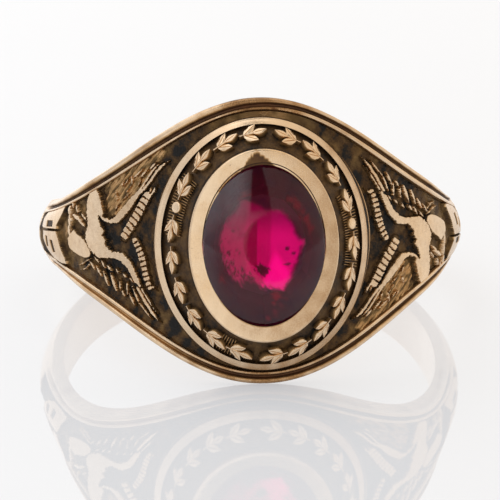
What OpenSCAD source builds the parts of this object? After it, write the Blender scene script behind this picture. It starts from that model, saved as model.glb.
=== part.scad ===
// Class ring: one casting, with an oval stone held under the lip of its bezel.
// It lies on its side, on the lower edge of its head and of its shank.
// The finger hole leans by rest_tilt, and the head faces -Y.

/* [Finger hole] */
// Diameter of the finger hole
bore_d = 18; // [16:0.1:21]

/* [Shank] */
// Width of the shank just behind the shoulders
shank_w = 3.1; // [2.6:0.1:3.8]
// Width of the shank at the back of the finger
back_w = 2.7; // [2.2:0.1:3.4]
// Thickness at the middle of the shank's rounded face
shank_t = 1.18; // [1:0.02:1.5]
// Thickness at the shank's edges
edge_t = 0.55; // [0.45:0.05:0.8]

/* [Shoulders] */
// Height of the head and its border, along the finger
head_h = 13.4; // [12.9:0.1:14.5]
// Angle round the finger over which the shoulders narrow
narrowing = 44.5; // [40:0.5:48]
// How squarely they narrow: more keeps the head wide for longer, then narrows faster
narrowing_power = 2.1; // [1.9:0.05:2.3]
// Angle from the middle of the head to where the cast ornament begins
ornament_start = 24; // [22:1:26]
// Angle from the middle of the head to where the cast ornament ends
ornament_end = 90; // [84:1:94]
// Thickness of the metal at the border's rails
rail_t = 1.08; // [1:0.02:1.3]
// How much thinner the border is above and below the head
border_dip = 0.4; // [0.2:0.05:0.45]
// Width of the outer rail
outer_rail_w = 0.3; // [0.2:0.05:0.4]
// Width of the inner rail
inner_rail_w = 0.2; // [0.15:0.05:0.3]
// Width of the groove between the two rails
rail_gap = 0.12; // [0.1:0.02:0.2]
// Depth of the field below the rails
field_depth = 0.26; // [0.16:0.02:0.3]
// Height of the cast relief above the field
relief_h = 0.26; // [0.16:0.02:0.3]
// Width of the relief's broadest form, the bird's body
bird_w = 0.86; // [0.6:0.02:1]

/* [Head] */
// Width of the head's oval rim, round the finger
rim_x = 10; // [9.5:0.1:10.4]
// Height of the head's oval rim, along the finger
rim_z = 11.8; // [11.2:0.1:12]
// Width of the rim's narrow flat
rim_w = 0.28; // [0.2:0.02:0.4]
// How far the head's oval sits below the middle of the border
head_drop = 0.1; // [0:0.02:0.15]
// Thickness of the metal at the middle of the rim
rim_t = 1.28; // [1.2:0.02:1.5]
// Radius of the rim's bow round the finger
rim_bow = 12; // [11:0.5:16]
// Rise of the sloping band from the rim to the bezel
band_rise = 1.2; // [0.9:0.05:1.4]
// Height of the wreath above the sloping band
leaf_h = 0.24; // [0.15:0.02:0.3]

/* [Wreath] */
// Leaf sprigs in each of the wreath's two upper branches
upper_sprigs = 4; // [3:1:5]
// Leaf sprigs in each of the wreath's two lower branches
lower_sprigs = 6; // [4:1:7]
// Length of a leaf
leaf_l = 0.78; // [0.6:0.02:0.9]
// Width of a leaf
leaf_w = 0.36; // [0.24:0.02:0.44]
// Diameter of the two round dots between the runs
dot_d = 0.52; // [0.3:0.02:0.7]

/* [Stone and bezel] */
// Width of the stone, round the finger
stone_x = 6; // [5.6:0.1:6.2]
// Height of the stone, along the finger
stone_z = 8; // [7.6:0.1:8.2]
// Height of the stone's dome above its girdle
dome_h = 1.5; // [1.2:0.05:1.7]
// Depth of the stone's faceted back below its girdle
pavilion_h = 1.55; // [1.2:0.05:1.65]
// Thickness of the stone's girdle
girdle_t = 0.1; // [0.06:0.02:0.2]
// Width of the bezel from the sloping band to the stone
bezel_w = 0.76; // [0.7:0.02:0.9]
// How far the bezel's lip reaches over the girdle
lip_w = 0.25; // [0.18:0.01:0.32]
// How deep the girdle lies below the bezel's top
girdle_depth = 0.5; // [0.45:0.05:0.7]
// Height of the bezel's top above the finger hole
bezel_t = 2.76; // [2.7:0.02:3]
// Clearance between the stone and its seat
seat_gap = 0.1; // [0.08:0.01:0.12]

/* [Hidden] */

bore_r = bore_d / 2;
core = 0.6; // metal drawn inside the bore's radius, which the bore then cuts away
border_w = outer_rail_w + rail_gap + inner_rail_w;
rim_r = bore_r + rim_t;
bezel_r = bore_r + bezel_t;
girdle_r = bezel_r - girdle_depth;
bezel_x = stone_x - 2 * lip_w + 2 * bezel_w;
bezel_z = stone_z - 2 * lip_w + 2 * bezel_w;
bezel_bow = 22; // radius of the bezel's slight bow round the finger
edge_round = 0.05; // softened edges of rim and bezel
oval_n = 56; // points round the head's ovals
stone_n = 48; // points round the stone
facet_n = 12; // facets in each row of the stone's back

// At rest the head's lower inner edge and the back's lower outer edge touch the surface
rest_tilt = atan((head_h - back_w) / 2 / (2 * bore_r + edge_t));
rest_z = head_h / 2 * cos(rest_tilt) - bore_r * sin(rest_tilt);
front_y = (girdle_r + girdle_t / 2 + dome_h) * cos(rest_tilt);
rear_y = (bore_r + shank_t) * cos(rest_tilt) + back_w / 4 * sin(rest_tilt);

function mix(a, b, t) = a + (b - a) * t;
function smooth(t) = let (s = max(0, min(1, t))) s * s * (3 - 2 * s);
function unit(v) = v / norm(v);

// The band round the finger, at angle a from the middle of the head
function turn(a) = a > 180 ? 360 - a : abs(a);
function swell(a) = exp(-pow(turn(a) / narrowing, narrowing_power));
function half_w(a) = mix(shank_w, back_w, (1 - cos(a)) / 2) / 2 + (head_h - shank_w) / 2 * swell(a);
function slant(a) =
    let (fall = narrowing_power * pow(turn(a) / narrowing, narrowing_power - 1) * swell(a) / narrowing)
    norm([1, (head_h - shank_w) / 2 * fall * 180 / PI / bore_r]);
function rail_r(a) = bore_r + rail_t - border_dip * exp(-pow(turn(a) / 17, 2));
function dome_r(a, z) = bore_r + edge_t + (shank_t - edge_t) * (1 - pow(z / half_w(a), 2));
function top_r(a, z) = mix(rail_r(a), dome_r(a, z), smooth((turn(a) - 50) / 30));
function sunk(a) = field_depth * (1 - smooth((turn(a) - ornament_end + 6) / 6));
function skin_r(a, z, rise) = top_r(a, z) - sunk(a) * (1 - rise);
function at(a, r, z) = [r * sin(a), -r * cos(a), z];

// Border, from the edge inwards: distance from the edge, and share of the field's depth that it stands up
border_rows = [
    [0, 0.3],
    [0.05, 0.95],
    [outer_rail_w - 0.06, 1],
    [outer_rail_w, 0.4],
    [outer_rail_w + rail_gap, 0.4],
    [outer_rail_w + rail_gap + 0.04, 0.95],
    [border_w - 0.04, 0.95],
    [border_w, 0]
];
field_shares = [0.35, 0.7, 1]; // from the border to the middle

function section(a) =
    let (
        h = half_w(a),
        s = slant(a),
        inner = h - border_w * s,
        edge = [for (row = border_rows) [h - row[0] * s, row[1]]],
        field = [for (t = field_shares) [inner * (1 - t), 0]],
        upper = concat(edge, field),
        lower = [for (i = [len(upper) - 2:-1:0]) [-upper[i][0], upper[i][1]]]
    )
    concat(
        [at(a, bore_r - core, h)],
        [for (p = concat(upper, lower)) at(a, skin_r(a, p[0], p[1]), p[0])],
        [at(a, bore_r - core, -h)]
    );

// A closed skin over rings of points that all have as many points
module skin(rings, loop = false) {
    n = len(rings[0]);
    m = len(rings);
    last = loop ? m - 1 : m - 2;
    sides = [
        for (i = [0:last], j = [0:n - 1])
            let (k = (i + 1) % m, l = (j + 1) % n, a = i * n + j, c = k * n + l)
            each [[a, c, i * n + l], [a, k * n + j, c]]
    ];
    e = (m - 1) * n;
    ends = loop ? [] : [for (j = [1:n - 2]) each [[0, j, j + 1], [e, e + j + 1, e + j]]];
    polyhedron([for (ring = rings) each ring], concat(sides, ends));
}

// A raised strip: stations of place along, place across and width, seated on a surface by a function
foot = -0.12; // its foot lies this deep in the metal
foot_spread = 1.2; // and is this much wider than its top
function strip(stations, seat, top) = [
    for (i = [0:len(stations) - 1])
        let (
            here = stations[i],
            before = stations[max(0, i - 1)],
            after = stations[min(len(stations) - 1, i + 1)],
            c = [here[0], here[1]],
            d = unit([after[0] - before[0], after[1] - before[1]]),
            n = [-d[1], d[0]] * here[2] / 2
        )
        [
            seat(c - n * foot_spread, foot),
            seat(c + n * foot_spread, foot),
            seat(c + n, top),
            seat(c - n, top)
        ]
];

module band_loft() {
    front = [for (a = [-88:5.5:88]) a];
    back = [for (i = [0:12]) mix(98, 262, i / 12)];
    skin([for (a = concat(front, back)) section(a)], loop = true);
}

// Shoulder relief, laid out for +X: shares of the ornament's length, of the field's half height and of bird_w
bird_body = [
    [0.39, 1.04, 0.3],
    [0.41, 0.88, 0.72],
    [0.395, 0.56, 0.9],
    [0.4, 0.16, 1],
    [0.38, -0.14, 1],
    [0.34, -0.29, 0.7],
    [0.29, -0.3, 0.4]
];
upper_wing = [
    [0.38, 0.45, 0.4],
    [0.32, 0.29, 0.3],
    [0.29, 0.26, 0.34],
    [0.26, 0.3, 0.38],
    [0.22, 0.43, 0.38],
    [0.17, 0.58, 0.34],
    [0.13, 0.7, 0.24],
    [0.09, 0.8, 0.2],
    [0.04, 0.87, 0.06]
];
lower_wing = [
    [0.32, -0.3, 0.5],
    [0.28, -0.25, 0.44],
    [0.24, -0.28, 0.44],
    [0.21, -0.37, 0.4],
    [0.18, -0.5, 0.34],
    [0.15, -0.63, 0.24],
    [0.11, -0.83, 0.2],
    [0.07, -0.93, 0.06]
];
shield = [
    [0.59, 0.23, 0.28],
    [0.56, -0.02, 0.66],
    [0.52, -0.26, 0.94],
    [0.47, -0.43, 0.66],
    [0.43, -0.48, 0.16]
];
sprig_column = [
    [0.605, 0.96, 0.2],
    [0.585, 0.79, 0.34],
    [0.58, 0.62, 0.2],
    [0.58, 0.46, 0.34],
    [0.585, 0.28, 0.2],
    [0.59, 0.12, 0.28]
];
upper_ribbon = [
    [0.07, 0.64, 0.06],
    [0.1, 0.58, 0.2],
    [0.125, 0.53, 0.36],
    [0.15, 0.42, 0.42],
    [0.2, 0.19, 0.42],
    [0.24, -0.02, 0.38]
];
lower_ribbon = [
    [0.18, -0.03, 0.22],
    [0.16, -0.16, 0.34],
    [0.14, -0.32, 0.34],
    [0.12, -0.49, 0.28],
    [0.1, -0.57, 0.2],
    [0.075, -0.6, 0.06]
];
chevron = [
    [0.6, 1.02, 0.44],
    [0.65, 0.7, 0.56],
    [0.7, 0, 0.5],
    [0.65, -0.7, 0.56],
    [0.6, -1.02, 0.44]
];
end_plate = [
    [0.76, 1.1, 0.24],
    [0.83, 0.67, 0.38],
    [0.86, 0, 0.38],
    [0.83, -0.67, 0.38],
    [0.76, -1.1, 0.24]
];
// Each form and its share of relief_h: forms that meet stand at different heights
forms = [
    [bird_body, 1],
    [upper_wing, 0.9],
    [lower_wing, 0.86],
    [shield, 0.93],
    [sprig_column, 0.8],
    [upper_ribbon, 0.95],
    [lower_ribbon, 0.88],
    [chevron, 0.9],
    [end_plate, 0.97]
];
feather_share = 0.74; // a feather's share of relief_h

// Feather rows: first place along and across, last place along and across, count, lean and length
feather_rows = [
    [0.26, 0.5, 0.15, 0.72, 4, 128, 0.55],
    [0.31, 0.62, 0.2, 0.86, 4, 128, 0.5],
    [0.39, -0.42, 0.23, -0.5, 5, 238, 0.34],
    [0.39, -0.58, 0.19, -0.72, 6, 240, 0.72],
    [0.54, 0.78, 0.5, 0.3, 3, 300, 0.4]
];
feather_w = bird_w * 0.16;

function field_half(a) = half_w(a) - border_w * slant(a);
function relief_angle(along) = mix(ornament_start, ornament_end, along);
function relief_mm(p) = [relief_angle(p[0]) * PI / 180 * (bore_r + rail_t), p[1] * field_half(relief_angle(p[0]))];
seat_on_shoulder = function (c, rise)
    let (a = c[0] / (bore_r + rail_t) * 180 / PI)
    at(a, skin_r(a, c[1], 0) + rise, c[1]);

module relief_strip(stations, share) {
    skin(strip(stations, seat_on_shoulder, relief_h * share));
}

module feather(place, lean, length) {
    root = relief_mm(place);
    d = [cos(lean), sin(lean)] * length;
    relief_strip([
        concat(root, [feather_w]),
        concat(root + d * 0.6, [feather_w * 0.8]),
        concat(root + d, [feather_w * 0.2])
    ], feather_share);
}

module shoulder_relief() {
    for (form = forms)
        relief_strip([for (p = form[0]) concat(relief_mm(p), [p[2] * bird_w])], form[1]);
    for (row = feather_rows)
        let (first = [row[0], row[1]], last = [row[2], row[3]], count = row[4], lean = row[5], length = row[6])
        for (i = [0:count - 1])
            feather(mix(first, last, i / (count - 1)), lean, length);
}

// The head: an oval truncated cone, bowed round the finger
function bow_y(x, r, bow) = bow - r - sqrt(bow * bow - x * x);
function oval_point(t, semi_x, semi_z, r, bow) =
    let (x = semi_x * cos(t))
    [x, bow_y(x, r, bow), semi_z * sin(t) - head_drop];
function oval(semi_x, semi_z, r, bow) = [
    for (i = [0:oval_n - 1])
        oval_point(360 * i / oval_n, semi_x, semi_z, r, bow)
];
function rim_oval(inset, r) = oval(rim_x / 2 - inset, rim_z / 2 - inset, r, rim_bow);
function bezel_oval(inset, r) = oval(bezel_x / 2 - inset, bezel_z / 2 - inset, r, bezel_bow);

// The sloping band's floor, from inside the rim's flat to the foot of the bezel
floor_inset = rim_w + edge_round;
floor_w = (rim_x - bezel_x) / 2 - floor_inset - edge_round;
flat_r = rim_r + band_rise * rim_w / (floor_w + floor_inset + edge_round);
floor_outer_r = flat_r - leaf_h;
floor_inner_r = rim_r + band_rise - leaf_h;

module head_block() {
    root_r = bore_r - core / 2;
    skin([
        oval(rim_x / 2 + edge_round, rim_z / 2 + edge_round, root_r, root_r),
        rim_oval(0, rim_r - edge_round),
        rim_oval(edge_round, rim_r),
        rim_oval(rim_w, flat_r),
        rim_oval(floor_inset, floor_outer_r),
        bezel_oval(-edge_round, floor_inner_r),
        bezel_oval(0, bezel_r - edge_round),
        bezel_oval(edge_round, bezel_r),
        bezel_oval(bezel_w + lip_w, bezel_r)
    ]);
}

// The wreath on the sloping band: angle round the oval, and places in millimetres along and across it
dot_angles = [10, 160];

function on_band(angle, along, across, rise) =
    let (
        t = angle + along / band_speed(angle) * 180 / PI,
        outer = oval_point(t, rim_x / 2 - floor_inset, rim_z / 2 - floor_inset, floor_outer_r, rim_bow),
        inner = oval_point(t, bezel_x / 2 + edge_round, bezel_z / 2 + edge_round, floor_inner_r, bezel_bow)
    )
    mix(outer, inner, 0.5 + across / floor_w) - [0, rise, 0];
function band_speed(angle) = norm([
    (bezel_x + floor_w) / 2 * sin(angle),
    (bezel_z + floor_w) / 2 * cos(angle)
]);

module leaf_strip(angle, way, stations, share) {
    seat = function (c, rise) on_band(angle, way * c[0], way * c[1], rise);
    skin(strip(stations, seat, leaf_h * share));
}

module leaf(angle, way, side) {
    lean = side * 38;
    d = [cos(lean), sin(lean)] * leaf_l;
    root = [0.05, 0];
    leaf_strip(angle, way, [
        concat(root, [leaf_w * 0.25]),
        concat(root + d * 0.45, [leaf_w]),
        concat(root + d * 0.8, [leaf_w * 0.6]),
        concat(root + d, [leaf_w * 0.1])
    ], 0.86 + side * 0.05);
}

sprig_tail = leaf_l * 0.24; // a sprig's stem behind its side leaves
sprig_reach = leaf_l * 1.45; // and its tip before them
leaf_gap = 0.08; // room before the first sprig and between the branches' tips

module sprig(angle, way, share) {
    for (side = [-1, 1])
        leaf(angle, way, side);
    leaf_strip(angle, way, [
        [-sprig_tail, 0, leaf_w * 0.3],
        [leaf_l * 0.64, 0, leaf_w * 0.26],
        [leaf_l * 0.95, 0, leaf_w * 0.9],
        [sprig_reach, 0, leaf_w * 0.1]
    ], share);
}

// A branch from a dot to where it meets the next one; every other sprig stands a little lower
module branch(dot_angle, meet, count) {
    way = sign(meet - dot_angle);
    first = dot_angle + way * (dot_d / 2 + leaf_gap + sprig_tail) / band_speed(dot_angle) * 180 / PI;
    last = meet - way * (sprig_reach + leaf_gap) / band_speed(meet) * 180 / PI;
    for (i = [0:count - 1])
        sprig(mix(first, last, i / (count - 1)), way, 1 - 0.04 * (i % 2));
}

dot_rings = [[1.15, foot], [1, leaf_h * 0.75], [0.8, leaf_h]]; // share of its size, height
dot_n = 16; // points round a dot

module dot(angle) {
    skin([
        for (ring = dot_rings)
            [for (i = [0:dot_n - 1])
                let (t = 360 * i / dot_n, c = dot_d / 2 * ring[0] * [cos(t), sin(t)])
                on_band(angle, c[0], c[1], ring[1])]
    ]);
}

module wreath() {
    upper_meet = (dot_angles[0] + dot_angles[1]) / 2;
    lower_meet = upper_meet + 180;
    branch(dot_angles[0], upper_meet, upper_sprigs);
    branch(dot_angles[1], upper_meet, upper_sprigs);
    branch(dot_angles[1], lower_meet, lower_sprigs);
    branch(dot_angles[0] + 360, lower_meet, lower_sprigs);
    for (angle = dot_angles)
        dot(angle);
}

// The stone: a smooth dome over rows of flat facets; its seat is the same form, turned smooth and grown by the clearance
dome_shares = [0.985, 0.94, 0.84, 0.68, 0.46, 0.2];
pavilion_rows = [[0.2, 1], [0.55, 0.68], [0.86, 0.28]]; // share of the girdle's size, share of the depth

function flat_facet(t) = cos(180 / facet_n) / cos(t - floor(t * facet_n / 360) * 360 / facet_n - 180 / facet_n);
function stone_ring(share, r, grow, faceted) = [
    for (i = [0:stone_n - 1])
        let (t = 360 * i / stone_n, f = faceted ? flat_facet(t) : 1)
        [(stone_x / 2 * share + grow) * f * cos(t), -r, (stone_z / 2 * share + grow) * f * sin(t) - head_drop]
];
function stone_rings(grow, faceted) = concat(
    [for (row = pavilion_rows) stone_ring(row[0], girdle_r - pavilion_h * row[1] - grow, grow, faceted)],
    [stone_ring(1, girdle_r - grow / 2, grow, false)],
    [stone_ring(1, girdle_r + girdle_t + grow / 2, grow, false)],
    [for (s = dome_shares)
        stone_ring(s, girdle_r + girdle_t + dome_h * pow(1 - s * s, 0.85) + grow, grow, false)]
);

module stone_seat() {
    skin(stone_rings(seat_gap, false));
    opening = [for (r = [girdle_r, bezel_r + dome_h]) stone_ring(1 - 2 * lip_w / stone_x, r, 0, false)];
    skin(opening);
}

// Sets the ring down as it rests: origin on the surface, under the middle of its depth
module rest() {
    translate([0, (front_y - rear_y) / 2, rest_z])
        rotate([-rest_tilt, 0, 0])
            children();
}

module ring_body() {
    color("#c9ab7c")
        rest()
            difference() {
                // the whole casting at its full height, before the finger hole is bored
                resize([0, 0, head_h])
                    difference() {
                        union() {
                            band_loft();
                            head_block();
                            wreath();
                            mirror([1, 0, 0]) shoulder_relief();
                            mirror([0, 0, 1]) shoulder_relief();
                        }
                        stone_seat();
                    }
                cylinder(h = head_h * 2, r = bore_r, center = true, $fn = 96);
            }
}

module stone() {
    color("#8c0f3f")
        rest()
            skin(stone_rings(0, true));
}

ring_body();
stone();
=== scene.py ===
import math
import bpy
import bmesh
import numpy as np
from mathutils import Matrix, Vector


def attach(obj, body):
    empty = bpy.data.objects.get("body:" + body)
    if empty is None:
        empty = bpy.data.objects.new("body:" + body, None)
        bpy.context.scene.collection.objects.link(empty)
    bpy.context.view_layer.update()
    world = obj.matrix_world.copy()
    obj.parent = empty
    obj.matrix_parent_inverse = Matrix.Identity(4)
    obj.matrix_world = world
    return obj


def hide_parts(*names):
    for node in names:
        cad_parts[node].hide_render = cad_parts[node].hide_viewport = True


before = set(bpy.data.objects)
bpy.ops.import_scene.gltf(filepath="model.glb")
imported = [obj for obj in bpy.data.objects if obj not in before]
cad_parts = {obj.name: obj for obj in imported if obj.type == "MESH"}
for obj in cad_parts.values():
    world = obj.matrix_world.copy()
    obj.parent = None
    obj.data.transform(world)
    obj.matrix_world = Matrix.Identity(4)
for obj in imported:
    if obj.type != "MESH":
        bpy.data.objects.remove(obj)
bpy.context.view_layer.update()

mm = 0.001
tau = 2 * math.pi

# the casting's own sizes, in millimetres, and degrees round the finger from the middle of the head
ring = {
    "boreRadius": 9.0,
    "shankWidth": 3.1,
    "backWidth": 2.7,
    "shankThick": 1.18,
    "edgeThick": 0.55,
    "headHeight": 13.4,
    "narrowing": 44.5,
    "narrowingPower": 2.1,
    "ornamentStart": 24.0,
    "ornamentEnd": 90.0,
    "fieldRunOut": 6.0,
    "railThick": 1.08,
    # the rails dip beside the head, and round over into the plain shank further on
    "borderDip": 0.4,
    "dipReach": 17.0,
    "crownFrom": 50.0,
    "crownOver": 30.0,
    "borderWidth": 0.62,
    "fieldDepth": 0.26,
    "girdleRadius": 11.26,
    "girdleThick": 0.1,
    "domeHeight": 1.5,
}
widening = (ring["headHeight"] - ring["shankWidth"]) / 2


def mix(a, b, t):
    return a + (b - a) * t


def smooth(t):
    t = np.clip(t, 0, 1)
    return t * t * (3 - 2 * t)


def bell(a, middle, reach):
    return np.exp(-((a - middle) / reach) ** 2)


def turnFrom(a):
    a = np.mod(a, 360)
    return np.minimum(a, 360 - a)


def swell(a):
    return np.exp(-(turnFrom(a) / ring["narrowing"]) ** ring["narrowingPower"])


def halfWidth(a):
    narrow = mix(ring["shankWidth"], ring["backWidth"], (1 - np.cos(np.radians(a))) / 2) / 2
    return narrow + widening * swell(a)


def slant(a):
    # how much longer the sloping edge is than its way round the finger
    power, narrow = ring["narrowingPower"], ring["narrowing"]
    fall = power * (turnFrom(a) / narrow) ** (power - 1) * swell(a) / narrow
    return np.sqrt(1 + (widening * fall * 180 / math.pi / ring["boreRadius"]) ** 2)


def topRadius(a, z):
    rail = ring["boreRadius"] + ring["railThick"] - ring["borderDip"] * bell(turnFrom(a), 0, ring["dipReach"])
    crown = ring["boreRadius"] + ring["edgeThick"]
    crown = crown + (ring["shankThick"] - ring["edgeThick"]) * (1 - (z / halfWidth(a)) ** 2)
    return mix(rail, crown, smooth((turnFrom(a) - ring["crownFrom"]) / ring["crownOver"]))


def sunkBy(a):
    runOut = ring["fieldRunOut"]
    return ring["fieldDepth"] * (1 - smooth((turnFrom(a) - ring["ornamentEnd"] + runOut) / runOut))


def skinRadius(a, z, rise):
    return topRadius(a, z) - sunkBy(a) * (1 - rise)


# how the ring rests: on the head's lower inner edge and the back's lower outer edge
tilt = math.atan((ring["headHeight"] - ring["backWidth"]) / 2 / (2 * ring["boreRadius"] + ring["edgeThick"]))
restZ = ring["headHeight"] / 2 * math.cos(tilt) - ring["boreRadius"] * math.sin(tilt)
frontY = (ring["girdleRadius"] + ring["girdleThick"] / 2 + ring["domeHeight"]) * math.cos(tilt)
rearY = (ring["boreRadius"] + ring["shankThick"]) * math.cos(tilt) + ring["backWidth"] / 4 * math.sin(tilt)
shiftY = (frontY - rearY) / 2


def toPart(x, y, z):
    # from the finger hole's own frame in millimetres to the part's frame in metres
    c, s = math.cos(tilt), math.sin(tilt)
    x, y, z = np.broadcast_arrays(x, y, z)
    return np.stack([x, y * c + z * s + shiftY, -y * s + z * c + restZ], -1) * mm


def around(a, r, z):
    t = np.radians(a)
    return toPart(r * np.sin(t), -r * np.cos(t), z)


def gridFaces(rows, columns, loopRows=False, loopColumns=False):
    row, column = np.meshgrid(
        np.arange(rows if loopRows else rows - 1),
        np.arange(columns if loopColumns else columns - 1), indexing="ij")
    nextRow, nextColumn = (row + 1) % rows, (column + 1) % columns
    corners = [row * columns + column, row * columns + nextColumn,
               nextRow * columns + nextColumn, nextRow * columns + column]
    return np.stack(corners, -1).reshape(-1, 4).tolist()


def ripple(x, y, size, seed):
    # smooth uneven field, about -1 to 1, for worn and ragged edges
    rng = np.random.default_rng(seed)
    waves, greatest = 10, 3.2
    total = 0
    for _ in range(waves):
        turnBy, phase = rng.uniform(0, tau, 2)
        pace = tau / size * rng.uniform(0.6, 1.7)
        total = total + np.sin((x * math.cos(turnBy) + y * math.sin(turnBy)) * pace + phase)
    return total / greatest


def makePiece(name, points, faces, materials, values=None, slots=None, keep=55):
    # values are given for each point; edges sharper than keep degrees stay sharp
    mesh = bpy.data.meshes.new(name)
    mesh.from_pydata(np.asarray(points).reshape(-1, 3).tolist(), [], faces)
    if slots is not None:
        mesh.polygons.foreach_set("material_index", slots)
    for label, data in (values or {}).items():
        made = mesh.attributes.new(label, "FLOAT", "POINT")
        made.data.foreach_set("value", np.asarray(data, float).ravel())
    bm = bmesh.new()
    bm.from_mesh(mesh)
    bmesh.ops.recalc_face_normals(bm, faces=bm.faces)
    bm.to_mesh(mesh)
    bm.free()
    mesh.polygons.foreach_set("use_smooth", [True] * len(mesh.polygons))
    mesh.set_sharp_from_angle(angle=math.radians(keep))
    for material in materials:
        mesh.materials.append(material)
    piece = bpy.data.objects.new(name, mesh)
    bpy.context.scene.collection.objects.link(piece)
    return piece


# how materials are written: a value that takes Python's own operators, and one way to make any node

class Value:
    def __init__(self, work, socket):
        self.work, self.socket = work, socket

    def apply(self, kind, *others):
        return self.work.node("ShaderNodeMath", {"operation": kind}, [self, *others]).out(0)

    def __add__(self, other):
        return self.apply("ADD", other)

    def __sub__(self, other):
        return self.apply("SUBTRACT", other)

    def __rsub__(self, other):
        return self.apply("MULTIPLY", -1).apply("ADD", other)

    def __mul__(self, other):
        return self.apply("MULTIPLY", other)

    def __truediv__(self, other):
        return self.apply("DIVIDE", other)

    def __neg__(self):
        return self.apply("MULTIPLY", -1)

    __radd__, __rmul__ = __add__, __mul__

    def most(self, other):
        return self.apply("MAXIMUM", other)

    def size(self):
        return self.apply("ABSOLUTE")

    def band(self, low, high):
        # 0 below low, 1 above high, smooth between
        return self.work.node("ShaderNodeMapRange", {"interpolation_type": "SMOOTHSTEP"},
                              {"Value": self, "From Min": low, "From Max": high}).out(0)


class Made:
    # a node whose outputs are taken as values
    def __init__(self, work, node):
        self.work, self.node = work, node

    def out(self, name):
        return Value(self.work, self.node.outputs[name])


class Work:
    # one node tree, shader or geometry
    def __init__(self, tree, prefix="ShaderNode"):
        self.tree, self.prefix = tree, prefix

    def put(self, socket, value):
        if isinstance(value, Value):
            self.tree.links.new(value.socket, socket)
        else:
            socket.default_value = value

    def node(self, kind, settings=None, values=None):
        kind = kind if "Node" in kind else self.prefix + kind
        made = self.tree.nodes.new(kind)
        for key, value in (settings or {}).items():
            if key == "stops":
                ramp = made.color_ramp
                while len(ramp.elements) < len(value):
                    ramp.elements.new(0.5)
                for element, (place, colour) in zip(ramp.elements, value):
                    element.position = place
                    element.color = (*colour, 1)
            else:
                setattr(made, key, value)
        pairs = enumerate(values) if isinstance(values, list) else (values or {}).items()
        for key, value in pairs:
            self.put(made.inputs[key], value)
        return Made(self, made)

    def noise(self, where, scale, detail=2.0, rough=0.5, stretch=None):
        if stretch:
            where = self.node("VectorMath", {"operation": "MULTIPLY"}, [where, stretch]).out(0)
        return self.node("TexNoise", None, {
            "Vector": where, "Scale": scale, "Detail": detail, "Roughness": rough}).out(0)

    def inMillimetres(self):
        # the place on the object, as its own frame has it
        here = self.node("TexCoord").out("Object")
        return self.node("VectorMath", {"operation": "SCALE"}, {"Vector": here, "Scale": 1000.0}).out(0)

    def painted(self, name):
        # a value that the mesh carries for each point
        return self.node("Attribute", {"attribute_name": name}).out("Fac")

    def colours(self, a, b, t, kind="MIX"):
        made = self.node("Mix", {"data_type": "RGBA", "blend_type": kind})
        for index, value in ((0, t), (6, a), (7, b)):
            if not isinstance(value, Value) and index > 0:
                value = (*value, 1)
            self.put(made.node.inputs[index], value)
        return Value(self, made.node.outputs[2])


def newMaterial(name, look):
    material = bpy.data.materials.new(name)
    material.use_nodes = True
    material.diffuse_color = (*look, 1)
    tree = material.node_tree
    tree.nodes.clear()
    return material, Work(tree)


# tarnished gold: the mesh carries how bare each place is as rise, and in a second value its brown stain,
# which on the head also holds painted shade
goldLook = {
    "polished": (0.79, 0.60, 0.405),
    "worn": (0.50, 0.30, 0.135),
    "olive": (0.200, 0.122, 0.046),
    "brown": (0.085, 0.046, 0.018),
    "black": (0.016, 0.015, 0.014),
    # how bare a place is where each of these colours lies
    "bareness": {"black": 0.0, "brown": 0.16, "olive": 0.4, "worn": 0.62, "polished": 0.88},
    "warmFilm": (0.88, 0.76, 0.60),
    "speck": (0.16, 0.085, 0.035),
    "stain": (0.20, 0.082, 0.03),
    # how far the oxide varies in the recesses: in patches, broadly and in the grain
    "patchy": 0.8,
    "broad": 0.5,
    "grain": 0.35,
    "topRough": 0.2,
    "pitRough": 0.55,
    "bump": 0.4,
    "bumpHeight": 0.00005,
}


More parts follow.
